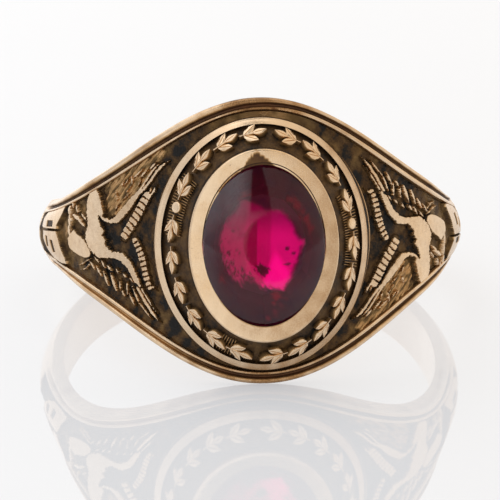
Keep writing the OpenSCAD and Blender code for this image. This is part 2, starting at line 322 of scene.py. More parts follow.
def castGold(name):
    look = goldLook
    material, work = newMaterial(name, look["polished"])
    where = work.inMillimetres()
    rise, tarnish = work.painted("rise"), work.painted("tarnish")
    broad = work.noise(where, 0.45, 4, 0.6)
    patchy = work.noise(where, 1.6, 5, 0.65)
    grain = work.noise(where, 12.0, 3, 0.65)
    # the recesses keep their dark oxide in patches, the high parts are rubbed bare
    low = 1 - rise
    level = rise + (patchy - 0.5) * look["patchy"] * low
    level = level + (broad - 0.5) * look["broad"] * low + (grain - 0.5) * look["grain"] * low
    # the second value darkens and browns the tone: real stain, and on the head painted shade as well
    level = level - tarnish * (0.55 + (grain - 0.5) * 0.9)
    stops = [(place, look[colour]) for colour, place in look["bareness"].items()]
    tone = work.node("ValToRGB", {"stops": stops}, {"Fac": level}).out(0)
    # a thin warm film lies in drifts over the bare gold, with small brown specks in it
    film = broad.band(0.42, 0.66) * 0.4 + patchy.band(0.54, 0.70) * 0.25
    tone = work.colours(tone, look["warmFilm"], film, "MULTIPLY")
    tone = work.colours(tone, look["stain"], tarnish * (patchy * 0.5 + 0.4))
    pits = work.noise(where, 5.5, 3, 0.75).band(0.69, 0.76).most(grain.band(0.70, 0.77) * 0.7)
    tone = work.colours(tone, look["speck"], pits * 0.65 * rise)
    bare = level.band(0.3, 0.75)
    # fine scratches, some across the finger and some along it
    scratchA = work.noise(where, 3.0, 4, 0.75, (9.0, 0.7, 0.7))
    scratchB = work.noise(where, 3.0, 4, 0.75, (0.8, 0.8, 8.0))
    scratches = (scratchA - 0.5).size() + (scratchB - 0.5).size()
    tone = work.colours(tone, look["stain"], scratches.band(0.15, 0.32) * rise * 0.3)
    roughness = bare * (look["topRough"] - look["pitRough"]) + look["pitRough"]
    roughness = roughness + scratches * 0.4 * bare - 0.03 + pits * 0.2 + film * 0.08
    height = (scratchA + scratchB) * 0.3 + grain * 0.6 * (1 - bare * 0.75) + patchy * 0.7 - pits * 0.6
    bump = work.node("Bump", None, {
        "Strength": look["bump"], "Distance": look["bumpHeight"], "Height": height}).out(0)
    shader = work.node("BsdfPrincipled", None, {
        "Base Color": tone, "Metallic": bare * 0.3 + 0.7, "Roughness": roughness, "Normal": bump})
    work.node("OutputMaterial", None, {"Surface": shader.out(0)})
    return material


gold = castGold("castGold")
print("gold made")


# the band: shank, shoulders and border

band = {
    # across the border: distance from the edge, share of the field's depth that it stands up, tone
    "border": [
        (0.0, 0.1, 0.7), (0.02, 0.5, 0.86), (0.055, 0.8, 0.98), (0.1, 0.94, 1.0), (0.15, 1.0, 1.0),
        (0.2, 0.98, 0.88), (0.24, 0.88, 0.62), (0.265, 0.74, 0.46), (0.285, 0.56, 0.38), (0.31, 0.42, 0.33),
        (0.35, 0.36, 0.3), (0.395, 0.43, 0.34), (0.425, 0.78, 0.66), (0.45, 0.94, 1.0), (0.51, 0.98, 1.0),
        (0.56, 0.92, 0.97), (0.59, 0.7, 0.8), (0.605, 0.35, 0.4), (0.62, 0.02, 0.12)],
    # the groove's share of it, which takes the most stain
    "groove": (0.25, 0.41),
    # above the head the groove lies further in on the left and nearer the edge on the right
    "grooveShift": 0.045,
    "widerLeft": 0.12,
    "narrowerRight": 0.06,
    "fieldRows": 40,
    # the field is kept low under each relief panel
    "underRelief": 0.09,
    # tones of the field beside the head, under the relief, and added just above the head
    "besideHead": 0.26,
    "underPanel": 0.1,
    "aboveHead": 0.39,
    # stain: above and below the head, everywhere, in the groove, in the flaw, and what is left in the bore
    "stainHead": 0.56,
    "stainAll": 0.08,
    "stainGroove": 0.22,
    "stainFlaw": 0.6,
    "stainBore": 0.25,
    # a small casting flaw on the border's inner line: angle, distance from the edge, size, depth
    "flaw": (4.0, 0.5, 0.14, 0.09),
    "edgeRound": 0.14,
    "edgeRows": 5,
    "boreRows": 7,
}


def bandAngles():
    # finer beside the flaw and where the border swings round the head
    steps = [np.arange(-92, 2, 0.8), np.arange(2, 6, 0.2), np.arange(6, 92, 0.8), np.arange(92, 268, 2.0)]
    return np.concatenate(steps)


def mirrored(above, middle, below=None):
    # rows from the upper edge over the field to the lower edge
    below = above if below is None else below
    return np.concatenate([above, middle, below[:, ::-1]], 1)


def borderPlaces(a):
    # up the finger: the upper border, the field, and the lower border's distances as positive numbers
    half, lean = halfWidth(a), slant(a)
    away = np.array(band["border"])[:, 0][None, :]
    shifts = smooth((away - 0.15) / 0.1) * (1 - smooth((away - 0.43) / 0.12))
    moved = shifts * band["grooveShift"] * np.clip(-a / 12, -1, 1)
    spread = 1 + band["widerLeft"] * bell(a, -22, 16) - band["narrowerRight"] * bell(a, 15, 12)
    shares = np.linspace(1, -1, band["fieldRows"])[None, :]
    field = (half - ring["borderWidth"] * lean) * shares * 0.998
    field = field - ring["borderWidth"] * lean * (spread - 1) * (shares + 1) / 2
    return half - (away + moved) * lean * spread, field, half - away * lean


def makeBand():
    a = bandAngles()[:, None]
    half, turn = halfWidth(a), turnFrom(a)
    top, field, low = borderPlaces(a)
    border = np.array(band["border"])
    edgeRise, edgeTone = (np.repeat(border[:, i][None, :], len(a), 0) for i in (1, 2))
    z = mirrored(top, field, -low)
    rise = mirrored(edgeRise, field * 0)
    ground = mix(band["besideHead"], band["underPanel"], smooth((turn - 13) / 5))
    ground = ground + band["aboveHead"] * (field > 0) * bell(a, 1, 11)
    ground = ground + 0.06 * ripple(np.radians(a) * 10, field, 1.1, 23)
    plain = smooth((turn - 80) / 10)
    tone = mix(mirrored(edgeTone, ground), 1.0, plain)
    r = skinRadius(a, z, rise)
    start = len(border)
    stop = start + band["fieldRows"]
    # below the left shoulder the groove has been polished clean
    lowerLeft = smooth((-a - 10) / 14) * (z < 0)
    lowerLeft[:, start:stop] = 0
    tone = tone + (1 - tone) * 0.6 * lowerLeft
    r[:, start:stop] -= band["underRelief"] * smooth((turn - 17) / 1.5) * (1 - smooth((turn - 87) / 3))
    flawAngle, flawAway, flawSize, flawDeep = band["flaw"]
    flaw = np.hypot((a - flawAngle) * 0.17, z - half + flawAway) / flawSize
    flaw = bell(flaw, 0, 1)
    r -= flawDeep * flaw
    # rounded corner into the bore, then the bore itself
    corner, bore = band["edgeRound"], ring["boreRadius"]
    turnsIn = np.linspace(0, math.pi / 2, band["edgeRows"])[None, :]
    downZ = -half + corner * (1 - np.cos(turnsIn))
    downR = bore + corner * (1 - np.sin(turnsIn)) + 0 * a
    across = np.linspace(-1, 1, band["boreRows"])[None, 1:-1] * (half - corner)
    allZ = np.concatenate([z, mirrored(downZ, across, -downZ)], 1)
    allR = np.concatenate([r, mirrored(downR, bore + 0 * across)], 1)
    inside = np.full((len(a), allZ.shape[1] - z.shape[1]), 0.93)
    tones = np.concatenate([tone, inside], 1)
    # the border is browner above and below the head, and unevenly so
    along = np.radians(a) * 10
    uneven = ripple(along, allZ, 2.4, 21) * 0.08 + ripple(along, allZ, 0.7, 22) * 0.05
    stain = band["stainHead"] * bell(turn, 0, 19) + band["stainAll"] + uneven * 1.5
    stain = np.clip(stain, 0, 1) * (1 - plain * 0.6)
    stain[:, start:stop] *= 0.1
    outside, inBore = stain[:, :z.shape[1]], stain[:, z.shape[1] + band["edgeRows"]:-band["edgeRows"]]
    fromEdge, toField = band["groove"]
    groove = (border[:, 0] > fromEdge) & (border[:, 0] < toField)
    groove = np.concatenate([groove, np.zeros(band["fieldRows"], bool), groove[::-1]])
    outside[:, groove] += band["stainGroove"] * (1 - plain * 0.8)
    outside += band["stainFlaw"] * flaw
    # the finger has kept the bore cleaner
    inBore *= band["stainBore"]
    faces = gridFaces(len(a), allZ.shape[1], True, True)
    return makePiece("band", around(a, allR, allZ), faces, [gold], {"rise": tones, "tarnish": stain})


bandPiece = makeBand()
print("band made", len(bandPiece.data.polygons))


# the head: rim, sloping band and bezel

head = {
    "rimX": 10.0,
    "rimZ": 11.8,
    "rimWidth": 0.28,
    "rimRadius": 10.28,
    "rimBow": 12.0,
    "rimRound": 0.06,
    "drop": 0.1,
    "bandRise": 1.2,
    "leafHeight": 0.24,
    "edge": 0.05,
    "floorRows": 26,
    "floorTone": 0.13,
    "bezelX": 7.02,
    "bezelZ": 9.02,
    "bezelRadius": 11.76,
    "bezelBow": 22.0,
    "bezelWidth": 0.76,
    "bezelRound": 0.1,
    "lipRound": 0.045,
    "lipFall": 0.02,
    # below the rim's top, set-out and tone: the rim's side wall has a worn step
    "wall": [(0.8, 0.0, 0.05), (0.42, 0.0, 0.1), (0.31, 0.035, 0.6), (0.27, 0.038, 0.9), (0.25, 0.031, 0.85),
             (0.24, 0.026, 0.15), (0.19, 0.006, 0.1), (0.15, 0.0, 0.15), (0.1, 0.0, 0.45), (0.06, 0.0, 0.85)],
    # which stands out further on the right: by how many times, angle, reach
    "wallRight": (3.2, 12.0, 26.0),
    # from the rim's flat down to the floor: share of the edge, drop, tone
    "rimFoot": [(0.0, 0.0, 1.0), (0.25, 0.03, 0.9), (0.5, 0.1, 0.6), (0.75, 0.18, 0.2), (1.0, 0.24, 0.05)],
    # up the bezel's wall: share of its height, tone
    "bezelWall": [(0.0, 0.02), (0.3, 0.3), (0.75, 0.85)],
    # a fine line scored round the stone, from the bezel's outer edge inwards: distance, depth, tone
    "scored": [(0.605, 0.012, 1.0), (0.62, 0.045, 0.12), (0.66, 0.045, 0.08), (0.676, 0.012, 0.95)],
    "lipTones": [0.9, 0.85, 0.6, 0.2, 0.05],
    # beside the stone, under its girdle and across a plain seat: outwards from the lip, down
    "seat": [(0.0, 0.2), (0.2, 0.33), (0.35, 0.4), (0.35, 0.55), (-0.2, 1.2), (-1.3, 2.05), (-2.3, 2.12)],
    "backClear": 0.25,
    "points": 560,
    # the dark patch on the bezel above the stone: angle, half its width at the stone in degrees
    "patch": (95.5, 21.0),
}
floorInset = head["rimWidth"] + head["edge"]
floorWidth = (head["rimX"] - head["bezelX"]) / 2 - floorInset - head["edge"]
slopeWidth = floorWidth + floorInset + head["edge"]
flatRadius = head["rimRadius"] + head["bandRise"] * head["rimWidth"] / slopeWidth
floorOuter = flatRadius - head["leafHeight"]
floorInner = head["rimRadius"] + head["bandRise"] - head["leafHeight"]


def bowed(x, r, bow):
    return bow - r - np.sqrt(bow * bow - x * x)


def ovalRow(angle, semiX, semiZ, r, bow):
    t = np.radians(angle)
    x = semiX * np.cos(t)
    return np.stack([x, bowed(x, r, bow), semiZ * np.sin(t) - head["drop"]], -1)


def rimRow(angle, inset, r):
    return ovalRow(angle, head["rimX"] / 2 - inset, head["rimZ"] / 2 - inset, r, head["rimBow"])


def bezelRow(angle, inset, r):
    return ovalRow(angle, head["bezelX"] / 2 - inset, head["bezelZ"] / 2 - inset, r, head["bezelBow"])


def onFloor(angle, across, rise):
    # the sloping floor: across in millimetres from its middle, towards the bezel
    share = np.asarray(0.5 + across / floorWidth)[..., None]
    place = mix(rimRow(angle, floorInset, floorOuter), bezelRow(angle, -head["edge"], floorInner), share)
    place[..., 1] -= rise
    return place


def floorSpeed(angle):
    # millimetres along the floor's middle for each radian
    t = np.radians(angle)
    semiX, semiZ = (head["bezelX"] + floorWidth) / 2, (head["bezelZ"] + floorWidth) / 2
    return np.hypot(semiX * np.sin(t), semiZ * np.cos(t))


def roundOff(radius, steps):
    # inwards and down, for each step round a quarter turn
    return [(radius * (1 - math.cos(w)), radius * (1 - math.sin(w))) for w in steps]


def headRows(angle):
    top, bezel = head["rimRadius"], head["bezelRadius"]
    backRadius = ring["boreRadius"] + head["backClear"]
    rows, tones = [], []

    def add(row, tone):
        rows.append(row)
        tones.append(np.broadcast_to(tone, angle.shape))

    # the hidden back follows the finger hole inside the band's own metal
    for size in (0.25, 0.5, 0.75, 1.0):
        add(ovalRow(angle, head["rimX"] / 2 * size, head["rimZ"] / 2 * size, backRadius, backRadius), 0)
    furthest, place, reach = head["wallRight"]
    onRight = 1 + furthest * bell(np.mod(angle - place + 180, 360) - 180, 0, reach)
    for depth, out, tone in head["wall"]:
        add(rimRow(angle, -out * onRight, top - depth), tone)
    for inset, down in roundOff(head["rimRound"], (0.2, 0.6, 1.1, 1.57)):
        add(rimRow(angle, inset, top - down), 0.95)
    for share in (0.35, 0.65, 0.85):
        add(rimRow(angle, head["rimWidth"] * share, mix(top, flatRadius, share)), 1)
    for share, drop, tone in head["rimFoot"]:
        add(rimRow(angle, head["rimWidth"] + head["edge"] * share, flatRadius - drop), tone)
    for share in np.linspace(-0.49, 0.49, head["floorRows"]):
        uneven = ripple(angle * 0.08, share * floorWidth, 0.3, 12) * 0.008
        add(onFloor(angle, np.full(len(angle), share * floorWidth), uneven), head["floorTone"])
    # bezel: wall, rounded shoulder, polished flat and lip
    for share, tone in head["bezelWall"]:
        add(bezelRow(angle, 0, mix(floorInner, bezel - head["bezelRound"], share)), tone)
    for inset, down in roundOff(head["bezelRound"], np.linspace(0, math.pi / 2, 6)):
        add(bezelRow(angle, inset, bezel - down), 1)
    for share in (0.25, 0.45, 0.65, 0.8):
        fall = head["lipFall"] * share * share
        add(bezelRow(angle, mix(head["bezelRound"], head["bezelWidth"], share), bezel - fall), 1)
    # the scored line fades out below the stone
    above = 1 - smooth(0.5 - np.sin(np.radians(angle)) * 2.5)
    shallow = head["scored"][0][1]
    for inset, down, tone in head["scored"]:
        add(bezelRow(angle, inset, bezel - shallow - (down - shallow) * above), 1 - (1 - tone) * above)
    lipTurn = np.linspace(0, math.pi / 2, len(head["lipTones"]))
    for w, tone in zip(lipTurn, head["lipTones"]):
        inset = head["bezelWidth"] - head["lipRound"] * (1 - math.sin(w))
        add(bezelRow(angle, inset, bezel - head["lipFall"] - head["lipRound"] * (1 - math.cos(w))), tone)
    for outwards, down in head["seat"]:
        add(bezelRow(angle, head["bezelWidth"] - outwards, bezel - down), 0)
    return np.array(rows), np.array(tones)


def headWear(angle, rows, tones):
    # darker beside the lip at the upper left, and a dark mottled patch at the top of the bezel
    x, y, z = rows[..., 0], rows[..., 1], rows[..., 2]
    inset = head["bezelX"] / 2 - np.hypot(x, (z + head["drop"]) * head["bezelX"] / head["bezelZ"])
    inset = np.clip(inset, 0, 1)
    onBezel = y < -(head["bezelRadius"] - 0.12)
    patchAt, patchWide = head["patch"]
    side = np.mod(angle[None, :] - patchAt + 180, 360) - 180
    mottle = ripple(x, z, 0.16, 14)
    reach = patchWide * (np.clip(inset - 0.06, 0, 1) / 0.64) ** 1.25
    patch = smooth((reach - np.abs(side) + (1.0 + side * 0.05) * mottle) / 4 + 0.5)
    # painted shade: the right and lower sides are darker and browner than the left, where the light falls
    # from the upper left
    shadedRightAndLow = 0.3 * smooth(0.4 + x / 5.5 - z / 12) + 0.06 * ripple(x, z, 1.1, 15)
    darkerByLip = 0.55 * smooth((inset - 0.5 + 0.05 * mottle) / 0.1) * bell(side, 30, 26)
    lip = 0.15 * smooth((inset - 0.6) / 0.06) + darkerByLip
    # painted shade too: off the bezel the head darkens towards its top and bottom
    elsewhere = np.clip(shadedRightAndLow + 0.1 * smooth(np.abs(z) / 2.5 - 1), 0, 1) * (tones > 0.5)
    tarnish = np.where(onBezel, np.clip(patch * 0.35 + lip + shadedRightAndLow, 0, 1), elsewhere)
    return np.where(onBezel, tones * (1 - (0.8 - 0.5 * inset) * patch), tones), tarnish


def makeHead():
    angle = np.linspace(0, 360, head["points"], endpoint=False)
    rows, tones = headRows(angle)
    tones, tarnish = headWear(angle, rows, tones)
    count, n = rows.shape[:2]
    points = toPart(rows[..., 0], rows[..., 1], rows[..., 2]).reshape(-1, 3)
    faces = gridFaces(count, n, False, True)
    # the back and the seat each close on a point in their middle
    backDepth = ring["boreRadius"] + head["backClear"]
    seatDepth = head["bezelRadius"] - head["seat"][-1][1]
    for row, depth in ((0, backDepth), (count - 1, seatDepth)):
        points = np.vstack([points, toPart(0, -depth, -head["drop"])])
        faces += [[len(points) - 1, row * n + (j + 1) % n, row * n + j] for j in range(n)]
    values = {"rise": np.append(tones.ravel(), [0, 0]), "tarnish": np.append(tarnish.ravel(), [0, 0])}
    return makePiece("headBlock", points, faces, [gold], values)


headPiece = makeHead()
print("head made", len(headPiece.data.polygons))


# the wreath, its two dots and the fine hatching beside them

wreath = {
    "dots": [10.0, 160.0],
    "dotAcross": 0.56,
    # up a dot: share of its radius, below its top, tone
    "dotSection": [(1.12, None, 0.0), (1.0, 0.07, 0.5), (0.93, 0.02, 0.9), (0.8, 0.0, 1.0),
                   (0.4, -0.004, 1.0)],
    "dotPoints": 28,
    "upperSprigs": 4,
    "lowerSprigs": 6,
    "leafLong": 0.78,
    "leafWide": 0.41,
    "lean": 38.0,
    "tail": 0.187,
    "reach": 1.131,
    "gap": 0.08,
    # across a leaf: share of its half width, height above or below its top, tone
    "leafSection": [(-1.15, None, 0.0), (-1.0, -0.06, 0.55), (-0.85, -0.012, 0.95), (-0.14, 0.0, 1.0),
                    (0.0, -0.05, 0.55), (0.14, 0.0, 1.0), (0.85, -0.012, 0.95), (1.0, -0.06, 0.55),
                    (1.15, None, 0.0)],
    # along a side leaf, and along the stem and its end leaf: share of the length, share of the width
    "sideLeaf": [(0.0, 0.2), (0.08, 0.5), (0.2, 0.82), (0.38, 1.0), (0.55, 0.95), (0.72, 0.72), (0.87, 0.4),
                 (1.0, 0.05)],
    "endLeaf": [(0.0, 0.22), (0.3, 0.24), (0.5, 0.26), (0.56, 0.55), (0.64, 0.88), (0.72, 1.0), (0.82, 0.8),
                (0.92, 0.42), (1.0, 0.05)],
    "foot": -0.1,
    # hatching: from angle, to angle
    "hatched": [(143.0, 175.0), (-12.0, 27.0), (241.0, 251.0)],
    "hatchStep": 0.13,
    "hatchWide": 0.05,
    "hatchTall": 0.1,
    # across a bar: share of its half width, share of its height, tone
    "hatchSection": [(-1.5, -0.6, 0.0), (-1.0, 0.7, 0.35), (-0.4, 1.0, 0.62), (0.4, 1.0, 0.62),
                     (1.0, 0.7, 0.35), (1.5, -0.6, 0.0)],
    "uneven": 0.035,
    "hatchUneven": 0.04,
    "seed": 7,
}


def closedRows(rows, n):
    # a tube of rows, with a face over each end
    ends = [list(range(n))[::-1], list(range((rows - 1) * n, rows * n))]
    return gridFaces(rows, n, False, True) + ends


def leafShape(root, lean, long, wide, top, outline):
    # a pointed leaf with a crisp flat top and a sunken vein, as points, faces and tones
    c, s = math.cos(math.radians(lean)), math.sin(math.radians(lean))
    section, narrowest = wreath["leafSection"], 0.03
    points, tones = [], []
    for t, width in outline:
        for share, down, tone in section:
            x, y = t * long, share * max(width, narrowest) * wide / 2
            z = wreath["foot"] if down is None else top + down
            points.append((root + x * c - y * s, x * s + y * c, z))
            tones.append(tone)
    return points, closedRows(len(outline), len(section)), tones


def joinShapes(name, shapes):
    points, faces, tones = [], [], []
    for more, moreFaces, moreTones in shapes:
        faces += [[i + len(points) for i in face] for face in moreFaces]
        points += more
        tones += moreTones
    values = {"rise": tones, "tarnish": [0.0] * len(tones)}
    return makePiece(name, np.array(points) * mm, faces, [gold], values)


def sprigShape():
    # two side leaves that lean out, and a third at the end of the stem
    tall, long, wide = head["leafHeight"], wreath["leafLong"], wreath["leafWide"]
    root, tail = 0.05, wreath["tail"]
    shapes = []
    for way in (-1, 1):
        top = tall * (0.86 + way * 0.05)
        shapes.append(leafShape(root, way * wreath["lean"], long, wide, top, wreath["sideLeaf"]))
    shapes.append(leafShape(-tail, 0, tail + wreath["reach"], wide * 0.9, tall, wreath["endLeaf"]))
    return joinShapes("sprigShape", shapes)


def dotShape():
    radius, tall, n = wreath["dotAcross"] / 2, head["leafHeight"], wreath["dotPoints"]
    points, tones = [], []
    for size, down, tone in wreath["dotSection"]:
        z = wreath["foot"] if down is None else tall - down
        for i in range(n):
            t = tau * i / n
            points.append((radius * size * math.cos(t), radius * size * math.sin(t) * 1.1, z))
            tones.append(tone)
    return joinShapes("dotShape", [(points, closedRows(len(wreath["dotSection"]), n), tones)])


def hatchShape():
    # one fine bar, from the rim's side of the floor to the bezel's
    wide, tall, long = wreath["hatchWide"] / 2, wreath["hatchTall"], floorWidth / 2 + 0.01
    section = wreath["hatchSection"]
    points = [(x * wide, y, z * tall) for y in (-long, long) for x, z, _ in section]
    tones = [tone for _ in range(2) for _, _, tone in section]
    return joinShapes("hatchShape", [(points, closedRows(2, len(section)), tones)])


def spreadTree():
    # stands a shape on every point, turned to the point's own up and forward
    tree = bpy.data.node_groups.new("spreadAlongBand", "GeometryNodeTree")
    for name, kind in (("Geometry", "Geometry"), ("Shape", "Object"), ("Uneven", "Float"), ("Seed", "Int"),
                       ("Material", "Material")):
        tree.interface.new_socket(name=name, in_out="INPUT", socket_type="NodeSocket" + kind)
    tree.interface.new_socket(name="Geometry", in_out="OUTPUT", socket_type="NodeSocketGeometry")
    work = Work(tree, "GeometryNode")
    given = work.node("NodeGroupInput")
    up, forward = (work.node("InputNamedAttribute", {"data_type": "FLOAT_VECTOR"}, {"Name": name}).out(0)
                   for name in ("up", "forward"))
    standing = work.node("FunctionNodeAlignRotationToVector", {"axis": "Z"}, {"Vector": up}).out(0)
    turned = work.node("FunctionNodeAlignRotationToVector", {"axis": "X", "pivot_axis": "Z"},
                       {"Rotation": standing, "Vector": forward}).out(0)
    uneven = given.out("Uneven")
    size = work.node("FunctionNodeRandomValue", {"data_type": "FLOAT_VECTOR"}, {"Seed": given.out("Seed")})
    spread = work.node("ShaderNodeVectorMath", {"operation": "MULTIPLY_ADD"},
                       [size.out(0), uneven * 2, 1 - uneven]).out(0)
    shape = work.node("ObjectInfo", None, {"Object": given.out("Shape")}).out("Geometry")
    placed = work.node("InstanceOnPoints", None, {
        "Points": given.out("Geometry"), "Instance": shape, "Rotation": turned, "Scale": spread}).out(0)
    solid = work.node("RealizeInstances", None, {"Geometry": placed}).out(0)
    done = work.node("SetMaterial", None, {"Geometry": solid, "Material": given.out("Material")}).out(0)
    work.node("NodeGroupOutput", None, {"Geometry": done})
    return tree


def spreadOnFloor(name, stations, shape, tree, uneven):
    # stations: angle round the head, millimetres along from it, and 1 or -1 for the way it points
    def floorAt(angle, along, across):
        angle = angle + along / floorSpeed(angle) * 180 / math.pi
        place = onFloor(np.array([angle]), np.array([across]), 0.0)[0]
        return toPart(*place)

    nearby = 0.05
    places, ups, forwards = [], [], []
    for angle, along, way in stations:
        here, ahead = floorAt(angle, along, 0), floorAt(angle, along + nearby, 0)
        inward = floorAt(angle, along, nearby)
        forward = ahead - here
        up = np.cross(inward - here, forward)
        up *= np.sign(up @ (toPart(0, -1, 0) - toPart(0, 0, 0)))
        places.append(here)
        ups.append(up / np.linalg.norm(up))
        forwards.append(forward * way / np.linalg.norm(forward))
    mesh = bpy.data.meshes.new(name + "Points")
    mesh.from_pydata(np.array(places).tolist(), [], [])
    for label, data in (("up", ups), ("forward", forwards)):
        mesh.attributes.new(label, "FLOAT_VECTOR", "POINT").data.foreach_set("vector", np.ravel(data))
    carrier = bpy.data.objects.new(name + "Carrier", mesh)
    bpy.context.scene.collection.objects.link(carrier)
    live = carrier.modifiers.new("spread", "NODES")
    live.node_group = tree
    keys = {item.name: item.identifier for item in tree.interface.items_tree if item.in_out == "INPUT"}
    for label, value in (("Shape", shape), ("Uneven", uneven), ("Seed", wreath["seed"]), ("Material", gold)):
        live[keys[label]] = value
    bpy.context.view_layer.update()
    made = bpy.data.meshes.new_from_object(carrier.evaluated_get(bpy.context.evaluated_depsgraph_get()))
    bpy.data.objects.remove(carrier)
    bpy.data.objects.remove(shape)
    made.name = name
    piece = bpy.data.objects.new(name, made)
    bpy.context.scene.collection.objects.link(piece)
    return piece


def branch(dot, meet, count):
    # sprigs from a dot to where two branches meet, all pointing that way
    way = 1 if meet > dot else -1
    besideDot = wreath["dotAcross"] / 2 + wreath["gap"] + wreath["tail"]
    first = dot + way * math.degrees(besideDot / floorSpeed(dot))
    last = meet - way * math.degrees((wreath["reach"] + wreath["gap"]) / floorSpeed(meet))
    return [(mix(first, last, i / (count - 1)), 0.0, way) for i in range(count)]


def makeWreath():
    tree = spreadTree()
    right, left = wreath["dots"]
    upper = (right + left) / 2
    lower = upper + 180
    stations = branch(right, upper, wreath["upperSprigs"]) + branch(left, upper, wreath["upperSprigs"])
    stations += branch(left, lower, wreath["lowerSprigs"]) + branch(right + 360, lower, wreath["lowerSprigs"])
    bars = []
    for start, stop in wreath["hatched"]:
        angle = start
        while angle < stop:
            bars.append((angle, 0.0, 1))
            angle += math.degrees(wreath["hatchStep"] / floorSpeed(angle))
    return [
        spreadOnFloor("leafWreath", stations, sprigShape(), tree, wreath["uneven"]),
        spreadOnFloor("wreathDots", [(a, 0.0, 1) for a in wreath["dots"]], dotShape(), tree, 0.0),
        spreadOnFloor("hatching", bars, hatchShape(), tree, wreath["hatchUneven"])]


wreathPieces = makeWreath()
print("wreath made", [len(piece.data.polygons) for piece in wreathPieces])


# the stone: a clear dome over a cut back, with foil behind its middle

stone = {
    "across": 6.0,
    "tall": 8.0,
    "back": 1.55,
    "points": 96,
    "domeRows": 26,
    "domePower": 0.85,
    # the back, from the girdle inwards: share of the girdle's size, share of the depth, facets round it
    "backRows": [(0.86, 0.28, 12), (0.62, 0.62, 12)],
    # its shallow middle: rows, share of the middle that is the table, share of the depth at the table's edge
    "middleRows": 30,
    "table": 0.8,
    "middleDepth": 0.9,
    # the middle of the back, where the foil still shines: across and up, in millimetres
    "bright": [(-0.68, 1.78), (-0.22, 1.58), (0.17, 1.34), (0.69, 1.28), (0.96, 0.86), (1.16, 0.18),
               (1.4, 0.13), (1.28, -0.22), (1.04, -0.9), (0.86, -1.43), (0.61, -1.83), (0.34, -1.7),
               (0.13, -1.67), (-0.22, -1.5), (-0.45, -1.3), (-0.73, -1.5), (-0.97, -1.36), (-1.2, -0.9),
               (-1.4, -0.22), (-1.5, 0.24), (-1.4, 0.66), (-1.2, 0.98), (-0.85, 1.31)],
    # missing flakes of foil, and scraps of it left outside: across, up, size
    "flakes": [(-0.79, -0.26, 0.07), (0.79, -0.18, 0.07), (1.0, -0.39, 0.06), (0.8, -0.79, 0.08),
               (0.68, -0.8, 0.05), (0.03, -1.0, 0.2), (-0.1, -0.92, 0.14), (-0.9, -1.05, 0.09),
               (-0.62, -1.2, 0.1), (-1.05, -0.7, 0.07), (-0.72, -0.95, 0.06), (-0.4, -1.22, 0.09),
               (-0.95, 0.55, 0.05), (-0.6, 0.4, 0.03), (-1.15, -0.35, 0.05)],
    "scraps": [(1.05, 1.8, 0.17), (1.22, 1.55, 0.18), (1.38, 1.28, 0.1), (1.58, 1.0, 0.19),
               (1.75, 0.68, 0.17), (0.45, -1.98, 0.15), (0.52, -2.2, 0.1), (0.35, -2.85, 0.12),
               (-1.5, -1.35, 0.1), (-0.62, 1.95, 0.14)],
}


def facetSize(t, facets):
    # how far out a ring of flat facets lies at each angle, as a share
    each = tau / facets
    return np.cos(each / 2) / np.cos(np.mod(t, each) - each / 2)


def polygonDepth(outline, x, y):
    # distance to the outline, positive inside it
    depth = np.full(x.shape, 1e9)
    inside = np.zeros(x.shape, bool)
    for (x0, y0), (x1, y1) in zip(outline, outline[1:] + outline[:1]):
        dx, dy = x1 - x0, y1 - y0
        t = np.clip(((x - x0) * dx + (y - y0) * dy) / (dx * dx + dy * dy), 0, 1)
        depth = np.minimum(depth, np.hypot(x - x0 - t * dx, y - y0 - t * dy))
        crosses = (y0 > y) != (y1 > y)
        inside ^= crosses & (x < x0 + (y - y0) * dx / (dy if dy else 1e-9))
    return np.where(inside, depth, -depth)


def foilShine(x, y):
    # how much of the foil is left, and how much of it has only turned red
    ragged = ripple(x, y, 0.5, 31) * 0.035
    ragged = ragged + ripple(x, y, 0.16, 32) * (0.02 + 0.05 * smooth(-x - y * 0.6))
    shine = smooth((polygonDepth(stone["bright"], x, y) + ragged) / 0.24 + 0.5)
    for fx, fy, size in stone["flakes"]:
        shine = shine * (1 - 0.9 * smooth((size - np.hypot(x - fx, (y - fy) * 0.8) + ragged) / 0.06))
    red = np.zeros(x.shape)
    for fx, fy, size in stone["scraps"]:
        red = np.maximum(red, smooth((size - np.hypot(x - fx, y - fy) + ragged * 1.6) / 0.22 + 0.4))
    return shine, red


# clear red dome: the tints are those of the stone, and the film is a painted grey sheen on it, a coat laid
# where the soft boxes' reflection shows
domeLook = {
    "tint": (1.0, 0.42, 0.82),
    "deeperTint": (0.94, 0.36, 0.72),
    "smooth": 0.012,
    "ior": 1.6,
    "mirror": (0.03, 0.03, 0.035, 1.0),
    # the painted sheen leaves an oval in the middle clear: its middle, half its width and height
    "clearOval": (0.42, 1.3, 1.62),
    "film": 0.35,
    "upperLeftSheen": 0.65,
    "leftEdgeSheen": 0.2,
    "sheenCoatIor": 1.8,
    "sheenCoatRough": 0.03,
}


